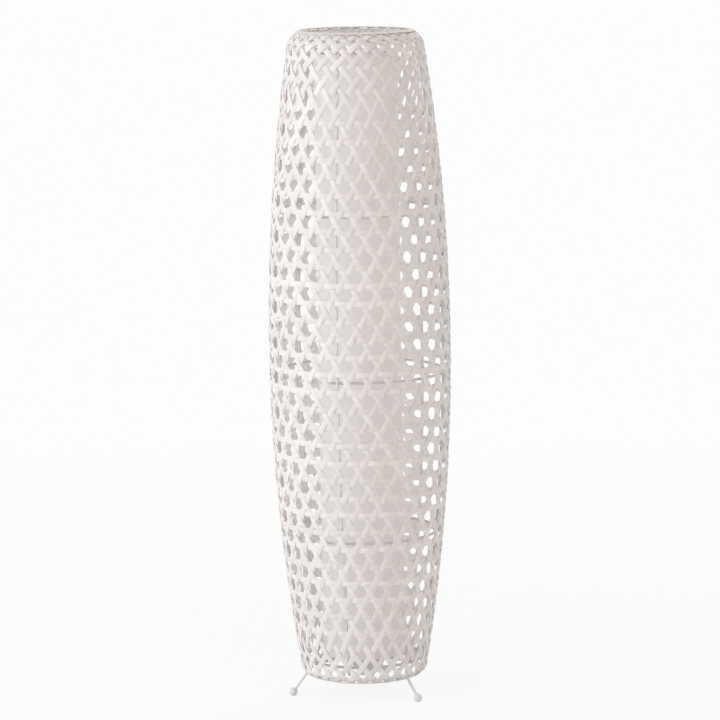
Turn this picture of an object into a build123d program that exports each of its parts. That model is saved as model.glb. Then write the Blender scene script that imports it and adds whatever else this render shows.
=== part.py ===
"""Floor lamp: a tall barrel of white bamboo strips, woven on a welded wire frame with three ball feet."""

from build123d import *
from math import atan2, ceil, cos, degrees, exp, log, radians, sin, sqrt
import os

os.makedirs("parts", exist_ok=True)

# Barrel, measured on the middle layer of the weave
belly_radius = 134.8
belly_height = 515.0
neck_radius = 100.6
neck_height = 977.4
foot_radius = 93.7
foot_height = 42.0
neck_curl_radius = 24.0
foot_curl_radius = 12.0

# Bamboo strips: two diagonal layers with the hoops between them
leg_count = 3
strips_per_leg = 9
strip_width = 7.0
strip_thickness = 1.0
layer_gap = 0.7
hoop_pitch = 26.3
foot_zone = 80.0
foot_rim_pitch = 8.0
neck_zone = 138.0
neck_rim_pitch = 5.0
rows_per_section = 1.2

# Wire frame
frame_wire = 4.0
weave_clearance = 0.9
weld_gap = 0.1
bottom_ring_height = 53.0
lower_ring_height = 247.0
middle_ring_height = 490.0
upper_ring_height = 734.0
hook_turn = 66.0
hook_overhang = 6.0

# Legs and ball feet
leg_exit_turn = 38.0
leg_bend_radius = 4.5
ball_radius = 6.25
ball_flat = 0.5
ball_bore_clearance = 0.15
ball_bore_past_centre = 1.0

# Inner diffuser tube on two thin rings
diffuser_radius = 62.0
diffuser_wall = 0.7
diffuser_drop = 11.4
diffuser_lap = 14.0
diffuser_wire = 3.0
spoke_overhang = 2.0

# Lampholder in the middle of the spider
seat_gap = 0.05
fit_clearance = 0.3
gallery_radius = 31.0
gallery_thickness = 1.6
spoke_lap = 6.5
sleeve_radius = 19.8
sleeve_wall = 2.6
sleeve_rise = 34.0
flange_radius = 23.5
flange_thickness = 3.0
lip_radius = 13.0
lip_thickness = 1.5
shade_ring_radius = 27.0
shade_ring_height = 8.0
shade_ring_grips = 24
grip_notch_radius = 0.8
cap_radius = 23.0
cap_neck_radius = 11.0
cap_wall = 2.0
cap_height = 27.0
cap_shoulder = 12.0
cord_grip_radius = 8.5
cord_grip_spigot = 6.5
cord_grip_drop = 6.0
cord_grip_reach = 8.0
cord_hole_radius = 3.7
grip_screw_radius = 1.25
block_height = 9.0
terminal_spacing = 14.0
terminal_shank_radius = 1.5
terminal_shank_length = 5.5
terminal_head_radius = 2.6
terminal_head_height = 1.6
tongue_thickness = 0.5
tongue_width = 5.0
tongue_rise = 2.6
tongue_reach = 9.0
shell_wall = 0.45
shell_height = 23.0

# Lamp bulb with a screw cap
bulb_cap_radius = 13.1
bulb_cap_length = 21.0
bulb_contact_radius = 4.8
bulb_contact_height = 2.0
bulb_insulator_radius = 11.0
bulb_insulator_height = 3.0
bulb_collar_height = 34.0
bulb_globe_radius = 30.0
bulb_globe_wall = 1.2
bulb_length = 108.0
led_board_thickness = 1.6
led_board_margin = 3.0

# Values worked out from the sizes above
wire_radius = frame_wire / 2
rib_count = 2 * leg_count
rib_step = 360 / rib_count
leg_step = 360 / leg_count
strip_count = leg_count * strips_per_leg
strip_step = 360 / strip_count
layer_offset = strip_thickness + layer_gap
weave_inside = layer_offset + strip_thickness / 2
rib_depth = weave_inside + weave_clearance + wire_radius
ring_depth = rib_depth + frame_wire + weld_gap
diffuser_top = neck_height - diffuser_drop

# Weave outline in the (radius, height) plane, from the foot rim up to the neck rim
with BuildLine() as wall_line:
    wall = ThreePointArc((foot_radius, foot_height), (belly_radius, belly_height), (neck_radius, neck_height))
foot_lean = degrees(atan2((wall % 0).X, (wall % 0).Y))
neck_lean = degrees(atan2(-(wall % 1).X, (wall % 1).Y))
with BuildLine() as weave_outline:
    foot_curl = JernArc(wall @ 0, (wall % 0) * -1, foot_curl_radius, foot_lean - 90)
    add(wall)
    neck_curl = JernArc(wall @ 1, wall % 1, neck_curl_radius, 90 - neck_lean)
outline_length = foot_curl.length + wall.length + neck_curl.length


def on_outline(distance, depth=0.0):
    """Point at a distance along the outline from the foot rim, set in from the weave's middle by depth."""
    along = min(max(distance, 0.0), outline_length)
    if along < foot_curl.length:
        line, part_way, heading = foot_curl, foot_curl.length - along, -1
    elif along < foot_curl.length + wall.length:
        line, part_way, heading = wall, along - foot_curl.length, 1
    else:
        line, part_way, heading = neck_curl, along - foot_curl.length - wall.length, 1
    point = line.position_at(part_way / line.length)
    tangent = line.tangent_at(part_way / line.length) * heading
    return (point.X - tangent.Y * depth, point.Y + tangent.X * depth)


def on_wall(height, depth):
    """Point of the wall at a height, set in square to the wall by depth."""
    centre = wall.arc_center
    rise = (height - centre.Y) / wall.radius
    run = sqrt(1 - rise * rise)
    reach = wall.radius - depth
    return (centre.X + reach * run, centre.Y + reach * rise)


def meridian(azimuth):
    """Upright plane through the axis: local X points outwards, azimuth turns from the front towards +X."""
    turn = radians(azimuth)
    return Plane(origin=(0, 0, 0), x_dir=(sin(turn), -cos(turn), 0), z_dir=(-cos(turn), -sin(turn), 0))


def save(piece, name):
    """Label a finished piece and write it as one STEP file."""
    piece.label = name
    export_step(piece, f"parts/{name}.step")


# Rows of strip crossings: even where the hoops run, closing up steadily towards both rims
foot_closing = (hoop_pitch - foot_rim_pitch) / foot_zone
neck_closing = (hoop_pitch - neck_rim_pitch) / neck_zone
foot_rows = log(hoop_pitch / foot_rim_pitch) / foot_closing
neck_rows = log(hoop_pitch / neck_rim_pitch) / neck_closing
hoop_rows = (outline_length - foot_zone - neck_zone) / hoop_pitch
all_rows = foot_rows + hoop_rows + neck_rows
leg_exit = foot_curl_radius * radians(leg_exit_turn)
leg_exit_row = log(1 + foot_closing * leg_exit / foot_rim_pitch) / foot_closing


def row_distance(row):
    """Distance along the outline at a row counted from the foot rim."""
    if row < foot_rows:
        return foot_rim_pitch * (exp(foot_closing * row) - 1) / foot_closing
    if row < foot_rows + hoop_rows:
        return foot_zone + (row - foot_rows) * hoop_pitch
    return outline_length - neck_rim_pitch * (exp(neck_closing * (all_rows - row)) - 1) / neck_closing


def row_pitch(distance):
    """Spacing of the rows at a distance along the outline."""
    from_neck = outline_length - distance
    return min(hoop_pitch, foot_rim_pitch + foot_closing * distance, neck_rim_pitch + neck_closing * from_neck)


def strip_half_height(distance):
    """Half of the strip's width as it is measured up the meridian, where the strip runs at a slant."""
    half_step = on_outline(distance)[0] * radians(strip_step) / 2
    slant = atan2(row_pitch(distance), half_step)
    return strip_width / 2 / cos(slant)


def diagonal_strip(lean, depth):
    """One strip from rim to rim, leaning one way round the barrel in its own layer."""
    foot_end = strip_half_height(0)
    neck_end = strip_half_height(outline_length)
    first_row = log(1 + foot_closing * foot_end / foot_rim_pitch) / foot_closing
    last_row = all_rows - log(1 + neck_closing * neck_end / neck_rim_pitch) / neck_closing
    sections = ceil((last_row - first_row) / rows_per_section)
    inside = depth + strip_thickness / 2
    outside = depth - strip_thickness / 2
    with BuildPart() as strip:
        for section in range(sections + 1):
            row = first_row + (last_row - first_row) * section / sections
            middle = row_distance(row)
            half = strip_half_height(middle)
            azimuth = rib_step + (lean * (row - leg_exit_row) + 1) * strip_step / 2
            with BuildSketch(meridian(azimuth)):
                with BuildLine():
                    inner = Spline(*[on_outline(middle + side * half, inside) for side in (-1, 0, 1)])
                    outer = Spline(*[on_outline(middle + side * half, outside) for side in (-1, 0, 1)])
                    Line(inner @ 0, outer @ 0)
                    Line(inner @ 1, outer @ 1)
                make_face()
        loft()
    return strip.part


def weave_hoop(distance):
    """One level band of the middle layer."""
    half = strip_width / 2
    with BuildPart() as hoop:
        with BuildSketch(Plane.XZ):
            corners = [(-half, -1), (half, -1), (half, 1), (-half, 1)]
            with BuildLine():
                Polyline(
                    *[on_outline(distance + rise, side * strip_thickness / 2) for rise, side in corners],
                    close=True,
                )
            make_face()
        revolve(axis=Axis.Z)
    return hoop.part


def wire_ring(radius, height, wire):
    """One closed ring of round wire."""
    with BuildPart() as ring:
        with BuildSketch(Plane.XZ):
            with Locations((radius, height)):
                Circle(wire / 2)
        revolve(axis=Axis.Z)
    return ring.part


def radial_wire(azimuth, start, end, height, wire):
    """One straight round wire along a radius, between two distances from the axis."""
    with BuildPart() as spoke:
        plane = meridian(azimuth)
        with BuildSketch(Plane(origin=plane.from_local_coords((start, height)), z_dir=plane.x_dir)):
            Circle(wire / 2)
        extrude(amount=end - start)
    return spoke.part


def turned(name, outline):
    """One turned piece from its half outline, given as (radius, height) points."""
    with BuildPart() as piece:
        with BuildSketch(Plane.XZ):
            with BuildLine():
                Polyline(*outline, close=True)
            make_face()
        revolve(axis=Axis.Z)
    save(piece.part, name)


# Woven skin: strips leaning right inside, hoops in the middle, strips leaning left outside
right_strip = diagonal_strip(lean=1, depth=layer_offset)
right_strips = Compound(children=[place * right_strip for place in PolarLocations(0, strip_count)])
save(right_strips, "weave_right_strips")

left_strip = diagonal_strip(lean=-1, depth=-layer_offset)
left_strips = Compound(children=[place * left_strip for place in PolarLocations(0, strip_count)])
save(left_strips, "weave_left_strips")

first_hoop_row = leg_exit_row + ceil(foot_rows - leg_exit_row - 0.5) + 0.5
hoop_count = int(foot_rows + hoop_rows - first_hoop_row) + 1
hoops = Compound(children=[weave_hoop(row_distance(first_hoop_row + count)) for count in range(hoop_count)])
save(hoops, "weave_hoops")

# Frame rings, welded inside the ribs
ring_places = {
    "frame_bottom_ring": on_wall(bottom_ring_height, ring_depth),
    "frame_lower_ring": on_wall(lower_ring_height, ring_depth),
    "frame_middle_ring": on_wall(middle_ring_height, ring_depth),
    "frame_upper_ring": on_wall(upper_ring_height, ring_depth),
    "frame_top_ring": on_outline(
        foot_curl.length + wall.length + neck_curl_radius * radians(hook_turn - hook_overhang), ring_depth
    ),
}
for ring_name, (ring_radius, ring_height) in ring_places.items():
    save(wire_ring(ring_radius, ring_height, frame_wire), ring_name)

# Ribs hook over the top ring; every second one runs out through the weave as a leg
rib_foot = on_wall(foot_height, rib_depth)
rib_belly = on_wall(belly_height, rib_depth)
rib_neck = on_wall(neck_height, rib_depth)
exit_inner = on_outline(leg_exit, rib_depth)
exit_middle = on_outline(leg_exit)
leg_heading = Vector(exit_middle[0] - exit_inner[0], exit_middle[1] - exit_inner[1]).normalized()
ball_height = ball_radius - ball_flat
leg_length = (exit_middle[1] - ball_height) / -leg_heading.Y
ball_reach = exit_middle[0] + leg_heading.X * leg_length
wall_heading = Vector((wall % 0).X, (wall % 0).Y)
rib_to_exit = Vector(exit_middle[0] - rib_foot[0], exit_middle[1] - rib_foot[1])
bend_drop = rib_to_exit.cross(leg_heading).Z / wall_heading.cross(leg_heading).Z
leg_bend = (rib_foot[0] + wall_heading.X * bend_drop, rib_foot[1] + wall_heading.Y * bend_drop)

rib_names = ["rib_front", "leg_front_right", "rib_back_right", "leg_back", "rib_back_left", "leg_front_left"]
for rib_index, rib_name in enumerate(rib_names):
    with BuildPart() as rib:
        with BuildLine(meridian(rib_index * rib_step)):
            rib_wall = ThreePointArc(rib_foot, rib_belly, rib_neck)
            JernArc(rib_wall @ 1, rib_wall % 1, neck_curl_radius - rib_depth, hook_turn)
            rib_start = rib_wall
            if rib_name.startswith("leg"):
                rib_start = FilletPolyline((ball_reach, ball_height), leg_bend, rib_foot, radius=leg_bend_radius)
        with BuildSketch(Plane(origin=rib_start @ 0, z_dir=rib_start % 0)):
            Circle(wire_radius)
        sweep()
    save(rib.part, rib_name)

# Ball feet, flat underneath and bored for the leg
for foot_index, foot_name in enumerate(["foot_front_right", "foot_back", "foot_front_left"]):
    foot_plane = meridian(rib_step + foot_index * leg_step)
    ball_centre = foot_plane.from_local_coords((ball_reach, ball_height))
    bore_heading = foot_plane.x_dir * -leg_heading.X + Vector(0, 0, -leg_heading.Y)
    bore_start = ball_centre - bore_heading * ball_bore_past_centre
    with BuildPart() as foot:
        with Locations(ball_centre):
            Sphere(ball_radius)
        split(bisect_by=Plane.XY, keep=Keep.TOP)
        with BuildSketch(Plane(origin=bore_start, z_dir=bore_heading)):
            Circle(wire_radius + ball_bore_clearance)
        extrude(amount=2 * ball_radius, mode=Mode.SUBTRACT)
    save(foot.part, foot_name)

# Spider: three spokes on the bottom ring carry the gallery plate and the diffuser
bottom_ring_radius, bottom_ring_level = ring_places["frame_bottom_ring"]
spoke_level = bottom_ring_level + frame_wire + weld_gap
spoke_top = spoke_level + wire_radius
spider_spokes = Compound(
    children=[
        radial_wire(
            rib_step + count * leg_step,
            gallery_radius - spoke_lap,
            bottom_ring_radius + wire_radius,
            spoke_level,
            frame_wire,
        )
        for count in range(leg_count)
    ]
)
save(spider_spokes, "spider_spokes")

gallery_bottom = spoke_top + seat_gap
gallery_top = gallery_bottom + gallery_thickness
with BuildPart() as gallery_plate:
    with BuildSketch(Plane.XY.offset(gallery_bottom)):
        Circle(gallery_radius)
        Circle(sleeve_radius + fit_clearance, mode=Mode.SUBTRACT)
    extrude(amount=gallery_thickness)
save(gallery_plate.part, "gallery_plate")

# Diffuser: a rolled sheet with a lap seam at the back, over a ring at each end
diffuser_bottom = spoke_top + fit_clearance
with BuildPart() as diffuser_sheet:
    with BuildSketch(Plane.XY.offset(diffuser_bottom)):
        Circle(diffuser_radius)
        with BuildSketch(mode=Mode.ADD):
            Circle(diffuser_radius + diffuser_wall)
            with Locations((0, diffuser_radius)):
                Rectangle(diffuser_lap, 2 * diffuser_radius, mode=Mode.INTERSECT)
        Circle(diffuser_radius - diffuser_wall, mode=Mode.SUBTRACT)
    extrude(amount=diffuser_top - diffuser_bottom)
save(diffuser_sheet.part, "diffuser_sheet")

diffuser_wire_radius = diffuser_wire / 2
diffuser_ring_radius = diffuser_radius - diffuser_wall - fit_clearance - diffuser_wire_radius
top_spoke_level = diffuser_top + fit_clearance + diffuser_wire_radius
lower_hoop_level = spoke_top + weld_gap + diffuser_wire_radius
upper_hoop_level = top_spoke_level - diffuser_wire - weld_gap
save(wire_ring(diffuser_ring_radius, lower_hoop_level, diffuser_wire), "diffuser_bottom_ring")
save(wire_ring(diffuser_ring_radius, upper_hoop_level, diffuser_wire), "diffuser_top_ring")

top_spoke_end = on_wall(top_spoke_level, rib_depth + wire_radius + weld_gap)[0]
top_spokes = Compound(
    children=[
        radial_wire(
            count * leg_step,
            diffuser_ring_radius - spoke_overhang,
            top_spoke_end - diffuser_wire_radius,
            top_spoke_level,
            diffuser_wire,
        )
        for count in range(leg_count)
    ]
)
save(top_spokes, "diffuser_top_spokes")

# Lampholder sleeve: its flange bears on the gallery from below
flange_top = gallery_bottom - seat_gap
flange_bottom = flange_top - flange_thickness
sleeve_top = flange_top + sleeve_rise
sleeve_bore = sleeve_radius - sleeve_wall
turned(
    "holder_sleeve",
    [
        (lip_radius, flange_bottom),
        (flange_radius, flange_bottom),
        (flange_radius, flange_top),
        (sleeve_radius, flange_top),
        (sleeve_radius, sleeve_top),
        (sleeve_bore, sleeve_top),
        (sleeve_bore, flange_bottom + lip_thickness),
        (lip_radius, flange_bottom + lip_thickness),
    ],
)

with BuildPart() as shade_ring:
    with BuildSketch(Plane.XY.offset(gallery_top + seat_gap)):
        Circle(shade_ring_radius)
        Circle(sleeve_radius + fit_clearance, mode=Mode.SUBTRACT)
        with PolarLocations(shade_ring_radius, shade_ring_grips):
            Circle(grip_notch_radius, mode=Mode.SUBTRACT)
    extrude(amount=shade_ring_height)
save(shade_ring.part, "shade_ring")

# Lampholder cap, hollow for the terminals, with the cord grip in its end
cap_top = flange_bottom - seat_gap
cap_bottom = cap_top - cap_height
spigot_hole = cord_grip_spigot + fit_clearance
turned(
    "holder_cap",
    [
        (cap_radius, cap_top),
        (cap_radius, cap_top - cap_shoulder),
        (cap_neck_radius, cap_bottom),
        (spigot_hole, cap_bottom),
        (spigot_hole, cap_bottom + cap_wall),
        (cap_neck_radius - cap_wall, cap_bottom + cap_wall),
        (cap_radius - cap_wall, cap_top - cap_shoulder),
        (cap_radius - cap_wall, cap_top),
    ],
)

grip_top = cap_bottom + cord_grip_reach
grip_shoulder = cap_bottom - seat_gap
grip_bottom = grip_shoulder - cord_grip_drop
grip_screw_level = (grip_shoulder + grip_bottom) / 2
grip_screw_length = cord_grip_radius - cord_hole_radius - fit_clearance
with BuildPart() as cord_grip:
    with BuildSketch(Plane.XY.offset(grip_bottom)):
        Circle(cord_grip_radius)
    extrude(amount=cord_grip_drop)
    with BuildSketch(Plane.XY.offset(grip_shoulder)):
        Circle(cord_grip_spigot)
    extrude(amount=grip_top - grip_shoulder)
    with BuildSketch(Plane.XY.offset(grip_bottom)):
        Circle(cord_hole_radius)
    extrude(amount=grip_top - grip_bottom, mode=Mode.SUBTRACT)
    with BuildSketch(Plane.YZ):
        with Locations((0, grip_screw_level)):
            Circle(grip_screw_radius + fit_clearance)
    extrude(amount=cord_grip_radius, mode=Mode.SUBTRACT)
save(cord_grip.part, "cord_grip")

with BuildPart() as cord_grip_screw:
    with BuildSketch(Plane.YZ.offset(cord_grip_radius - grip_screw_length)):
        with Locations((0, grip_screw_level)):
            Circle(grip_screw_radius)
    extrude(amount=grip_screw_length)
save(cord_grip_screw.part, "cord_grip_screw")

# Contact block with its terminal screws, centre tongue and screw shell
block_bottom = flange_bottom + lip_thickness + seat_gap
block_top = block_bottom + block_height
terminal_places = [(-terminal_spacing / 2, 0), (terminal_spacing / 2, 0)]
with BuildPart() as contact_block:
    with BuildSketch(Plane.XY.offset(block_bottom)):
        Circle(sleeve_bore - fit_clearance)
    extrude(amount=block_height)
    with BuildSketch(Plane.XY.offset(block_bottom)):
        with Locations(*terminal_places):
            Circle(terminal_shank_radius + fit_clearance)
    extrude(amount=terminal_shank_length + fit_clearance, mode=Mode.SUBTRACT)
save(contact_block.part, "contact_block")

with BuildPart() as terminal_screws:
    with BuildSketch(Plane.XY.offset(block_bottom - seat_gap)):
        with Locations(*terminal_places):
            Circle(terminal_shank_radius)
    extrude(amount=terminal_shank_length)
    with BuildSketch(Plane.XY.offset(block_bottom - seat_gap)):
        with Locations(*terminal_places):
            Circle(terminal_head_radius)
    extrude(amount=-terminal_head_height)
save(terminal_screws.part, "terminal_screws")

tongue_seat = block_top + seat_gap
with BuildPart() as centre_contact:
    with BuildSketch(Plane.XZ):
        with BuildLine():
            Polyline(
                (-tongue_reach, tongue_seat),
                (-tongue_reach / 2, tongue_seat),
                (0, tongue_seat + tongue_rise - tongue_thickness),
                (tongue_reach / 2, tongue_seat + tongue_rise - tongue_thickness),
                (tongue_reach / 2, tongue_seat + tongue_rise),
                (0, tongue_seat + tongue_rise),
                (-tongue_reach / 2, tongue_seat + tongue_thickness),
                (-tongue_reach, tongue_seat + tongue_thickness),
                close=True,
            )
        make_face()
    extrude(amount=tongue_width / 2, both=True)
save(centre_contact.part, "centre_contact")

shell_bore = bulb_cap_radius + fit_clearance
with BuildPart() as screw_shell:
    with BuildSketch(Plane.XY.offset(block_top + seat_gap)):
        Circle(shell_bore + shell_wall)
        Circle(shell_bore, mode=Mode.SUBTRACT)
    extrude(amount=shell_height)
save(screw_shell.part, "screw_shell")

# Bulb: contact, insulator, screw cap, collar, light board and globe
tip_level = tongue_seat + tongue_rise + fit_clearance
insulator_level = tip_level + bulb_contact_height
bulb_cap_level = insulator_level + bulb_insulator_height
collar_level = bulb_cap_level + bulb_cap_length
globe_level = collar_level + bulb_collar_height
bulb_top = tip_level + bulb_length
with BuildPart() as bulb_contact:
    with BuildSketch(Plane.XY.offset(tip_level)):
        Circle(bulb_contact_radius)
    extrude(amount=bulb_contact_height)
    fillet(bulb_contact.edges().group_by(Axis.Z)[0], radius=bulb_contact_height / 2)
save(bulb_contact.part, "bulb_contact")

turned(
    "bulb_insulator",
    [
        (0, insulator_level),
        (bulb_contact_radius, insulator_level),
        (bulb_insulator_radius, insulator_level + bulb_insulator_height),
        (0, insulator_level + bulb_insulator_height),
    ],
)

with BuildPart() as bulb_screw_cap:
    with BuildSketch(Plane.XY.offset(bulb_cap_level + fit_clearance)):
        Circle(bulb_cap_radius)
    extrude(amount=bulb_cap_length - fit_clearance)
save(bulb_screw_cap.part, "bulb_screw_cap")

globe_centre = bulb_top - bulb_globe_radius
globe_drop = globe_centre - globe_level
globe_mouth = sqrt(bulb_globe_radius**2 - globe_drop**2)
globe_inner_radius = bulb_globe_radius - bulb_globe_wall
globe_inner_mouth = sqrt(globe_inner_radius**2 - globe_drop**2)
with BuildPart() as bulb_collar:
    with BuildSketch(Plane.XZ):
        with BuildLine():
            collar_side = Bezier(
                (bulb_cap_radius, collar_level),
                (bulb_cap_radius, (collar_level + globe_level) / 2),
                (globe_mouth, globe_level),
            )
            Polyline((globe_mouth, globe_level), (0, globe_level), (0, collar_level), collar_side @ 0)
        make_face()
    revolve(axis=Axis.Z)
save(bulb_collar.part, "bulb_collar")

with BuildPart() as bulb_led_board:
    with BuildSketch(Plane.XY.offset(globe_level + seat_gap)):
        Circle(globe_inner_mouth - led_board_margin)
    extrude(amount=led_board_thickness)
save(bulb_led_board.part, "bulb_led_board")

with BuildPart() as bulb_globe:
    with Locations((0, 0, globe_centre)):
        Sphere(bulb_globe_radius)
        Sphere(globe_inner_radius, mode=Mode.SUBTRACT)
    split(bisect_by=Plane.XY.offset(globe_level + seat_gap), keep=Keep.TOP)
save(bulb_globe.part, "bulb_globe")
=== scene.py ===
"""Woven bamboo floor lamp: the looks of its strips, wires, diffuser, lampholder and bulb."""

import math
from typing import NamedTuple

import bmesh
import bpy
import numpy as np
from bpy.props import FloatProperty, FloatVectorProperty, IntProperty, PointerProperty
from mathutils import Matrix, Vector


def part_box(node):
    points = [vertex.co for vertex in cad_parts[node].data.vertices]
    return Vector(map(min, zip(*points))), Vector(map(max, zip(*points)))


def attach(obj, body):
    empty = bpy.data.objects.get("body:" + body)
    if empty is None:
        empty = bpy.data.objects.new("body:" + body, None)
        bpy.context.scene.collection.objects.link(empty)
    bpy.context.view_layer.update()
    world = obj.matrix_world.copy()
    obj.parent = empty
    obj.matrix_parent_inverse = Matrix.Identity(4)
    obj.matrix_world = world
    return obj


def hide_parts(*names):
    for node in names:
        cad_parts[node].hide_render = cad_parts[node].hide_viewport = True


bl_info = {
    "name": "Woven Bamboo Floor Lamp",
    "version": (1, 0, 0),
    "blender": (4, 5, 0),
    "location": "View3D > Sidebar > Lamp",
    "description": "Weaves the bamboo skin of a floor lamp and finishes its frame, diffuser and lampholder",
    "category": "Object",
}

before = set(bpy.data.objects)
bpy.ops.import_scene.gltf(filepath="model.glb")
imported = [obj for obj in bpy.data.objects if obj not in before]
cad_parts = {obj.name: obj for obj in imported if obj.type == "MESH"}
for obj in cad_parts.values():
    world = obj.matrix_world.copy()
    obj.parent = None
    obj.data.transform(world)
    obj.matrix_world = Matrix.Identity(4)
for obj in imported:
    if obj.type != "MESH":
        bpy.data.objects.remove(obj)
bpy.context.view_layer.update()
TAU = 2 * math.pi

FRAME_NODES = [
    "frame_bottom_ring",
    "frame_lower_ring",
    "frame_middle_ring",
    "frame_upper_ring",
    "frame_top_ring",
    "rib_front",
    "rib_back_right",
    "rib_back_left",
    "leg_front_right",
    "leg_back",
    "leg_front_left",
    "spider_spokes",
    "gallery_plate",
    "diffuser_bottom_ring",
    "diffuser_top_ring",
    "diffuser_top_spokes",
]
FOOT_NODES = ["foot_front_right", "foot_back", "foot_front_left"]
HOLDER_NODES = ["holder_sleeve", "holder_cap", "shade_ring", "cord_grip"]
WELDED_RINGS = ["frame_bottom_ring", "frame_lower_ring", "frame_middle_ring", "frame_upper_ring"]

# Colours of the hidden pieces.
HOLDER_WHITE = (0.80, 0.80, 0.79)
GRIP_WHITE = (0.78, 0.78, 0.77)
CERAMIC_CREAM = (0.76, 0.74, 0.69)
BRASS = (0.72, 0.53, 0.25)
STEEL = (0.62, 0.62, 0.62)
SOLDER = (0.60, 0.60, 0.58)
CAP_METAL = (0.70, 0.70, 0.71)
INSULATOR_BLACK = (0.02, 0.02, 0.022)
COLLAR_WHITE = (0.82, 0.82, 0.81)
BOARD_WHITE = (0.80, 0.80, 0.76)
OPAL_DIM = (0.83, 0.83, 0.81)
OPAL_CLEAR = (0.88, 0.88, 0.86)

# Patterns of the bamboo, in cells a metre: along a strip, across it, and from strip to strip.
FIBRE_CELLS = (14.0, 1500.0, 40.0)
STREAK_CELLS = (9.0, 420.0, 40.0)
PATCH_CELLS = (26.0, 60.0, 40.0)
BRUSH_CELLS = (55.0, 900.0, 40.0)
KNUCKLE_REACH = 0.115  # half the distance between two knuckles of a strip, in metres
INNER_FACE = -0.6  # edge mask of a strip's inner face; outside it is 0 in the middle and 1 at the edges
SHOULDER_EDGE = 0.35  # edge mask where a strip's outer face starts to round off
BAMBOO_PAINTED_GLOW = 0.06  # painted glow on the inner faces of the strips, which brightens the inside of the weave
FILM_PAINTED_GLOW = 0.035  # painted glow on the film of the tube, though the lamp is off

# Steps of the meshes.
SHARP_ANGLE = math.radians(50)
ROW_STEPS = 6  # points on a diagonal strip from row to row
HOOP_STEPS = 8  # points on a hoop from strip to strip
CAP_COLUMNS = 72
CAP_LEVELS = 96

# The weave, in metres where nothing else is said.
BLEND_ROWS = 0.5  # rows over which plain weave becomes three-way weave
LIFT_WAVES = (0.23, 0.11)
LIFT_DRIFT = 0.00015  # how far a strip's rise varies
HOOP_TILT = 0.0011  # how far a hoop is out of level
HOOP_LAP_RISE = 1.3  # thicknesses by which a hoop's ends pass each other
TUCK_SHARE = 0.66  # share of a thickness that a strip's end moves in or out for each neighbour it passes
TUCK_LENGTH = 0.010  # length over which an end moves in or out
TUCK_THINNING = 0.35  # share of its thickness that a turned end loses
FREE_LENGTH = 0.03  # length over which a strip becomes free to stray above the bottom rim
NECK_HOLD = 0.7  # how firmly the top rim holds the ends


class Unevenness(NamedTuple):
    """How hand-made strips vary: length and wavelengths in metres, shares of the width, roll in radians."""

    length: float
    stray_waves: tuple
    width_waves: tuple
    roll_waves: tuple
    width_spread: float
    width_swell: float
    roll: float


DIAGONALS = Unevenness(
    length=1.2,
    stray_waves=(0.37, 0.19, 0.09),
    width_waves=(0.27, 0.08),
    roll_waves=(0.19, 0.07),
    width_spread=0.08,
    width_swell=0.07,
    roll=0.06,
)
HOOPS = Unevenness(
    length=0.85,
    stray_waves=(0.29, 0.13, 0.07),
    width_waves=(0.21, 0.06),
    roll_waves=(0.17, 0.06),
    width_spread=0.05,
    width_swell=0.06,
    roll=0.05,
)


class RimTurn(NamedTuple):
    """How strips turn along a rim: slope at their end, bend, points, and share and length of narrowing."""

    last_slope: float
    bend: float
    points: int
    narrowing: float
    narrowing_length: float


FOOT_TURN = RimTurn(last_slope=0.02, bend=0.0025, points=22, narrowing=0.42, narrowing_length=0.012)
NECK_TURN = RimTurn(last_slope=0.09, bend=0.005, points=26, narrowing=0.12, narrowing_length=0.02)


class SoftLight(NamedTuple):
    """A square light of the stage: place and size in metres, power in watts."""

    name: str
    place: tuple
    size: float
    power: float
    colour: tuple


LIGHTS = (
    SoftLight("key_light", place=(-2.8, -2.3, 1.7), size=1.6, power=57.0, colour=(0.95, 1.0, 1.05)),
    SoftLight("fill_light", place=(2.4, -2.8, 1.2), size=2.4, power=5.0, colour=(1.0, 0.89, 0.84)),
    SoftLight("back_light", place=(0.6, 3.6, 2.9), size=2.0, power=22.0, colour=(0.98, 1.0, 1.02)),
)
LIT_PLACE = (0.0, 0.0, 0.5)
SEEN_WHITE = (0.982, 0.982, 0.982, 1.0)  # floor and surroundings as the camera sees them
ROOM_LIGHT = (1.003, 0.932, 0.893, 1.0)  # surroundings as they light the lamp
ROOM_STRENGTH = 0.725
FLOOR_COLOUR = (0.93, 0.935, 0.94, 1.0)
FLOOR_GLOW = 0.88  # share of plain white on the floor under the lamp; the rest takes its shadow
FLOOR_FADE = (0.4, 2.4)  # distances from the lamp between which the shadow fades out
FLOOR_HALF = 8.0
FLOOR_DROP = 0.0003  # room between the feet and the floor


class BarrelSizes(bpy.types.PropertyGroup):
    """The barrel's outline, measured on the middle of the weave."""

    belly_radius: FloatProperty(
        name="Belly Radius", description="Radius at the widest place", default=0.1348, unit="LENGTH"
    )
    belly_height: FloatProperty(
        name="Belly Height", description="Height of the widest place", default=0.515, unit="LENGTH"
    )
    neck_radius: FloatProperty(
        name="Neck Radius", description="Radius where the top curl starts", default=0.1006, unit="LENGTH"
    )
    neck_height: FloatProperty(
        name="Neck Height", description="Height where the top curl starts", default=0.9774, unit="LENGTH"
    )
    foot_radius: FloatProperty(
        name="Foot Radius", description="Radius where the bottom curl starts", default=0.0937, unit="LENGTH"
    )
    foot_height: FloatProperty(
        name="Foot Height", description="Height where the bottom curl starts", default=0.042, unit="LENGTH"
    )
    neck_curl: FloatProperty(
        name="Neck Curl", description="Radius of the top curl", default=0.024, unit="LENGTH"
    )
    foot_curl: FloatProperty(
        name="Foot Curl", description="Radius of the bottom curl", default=0.012, unit="LENGTH"
    )


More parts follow.
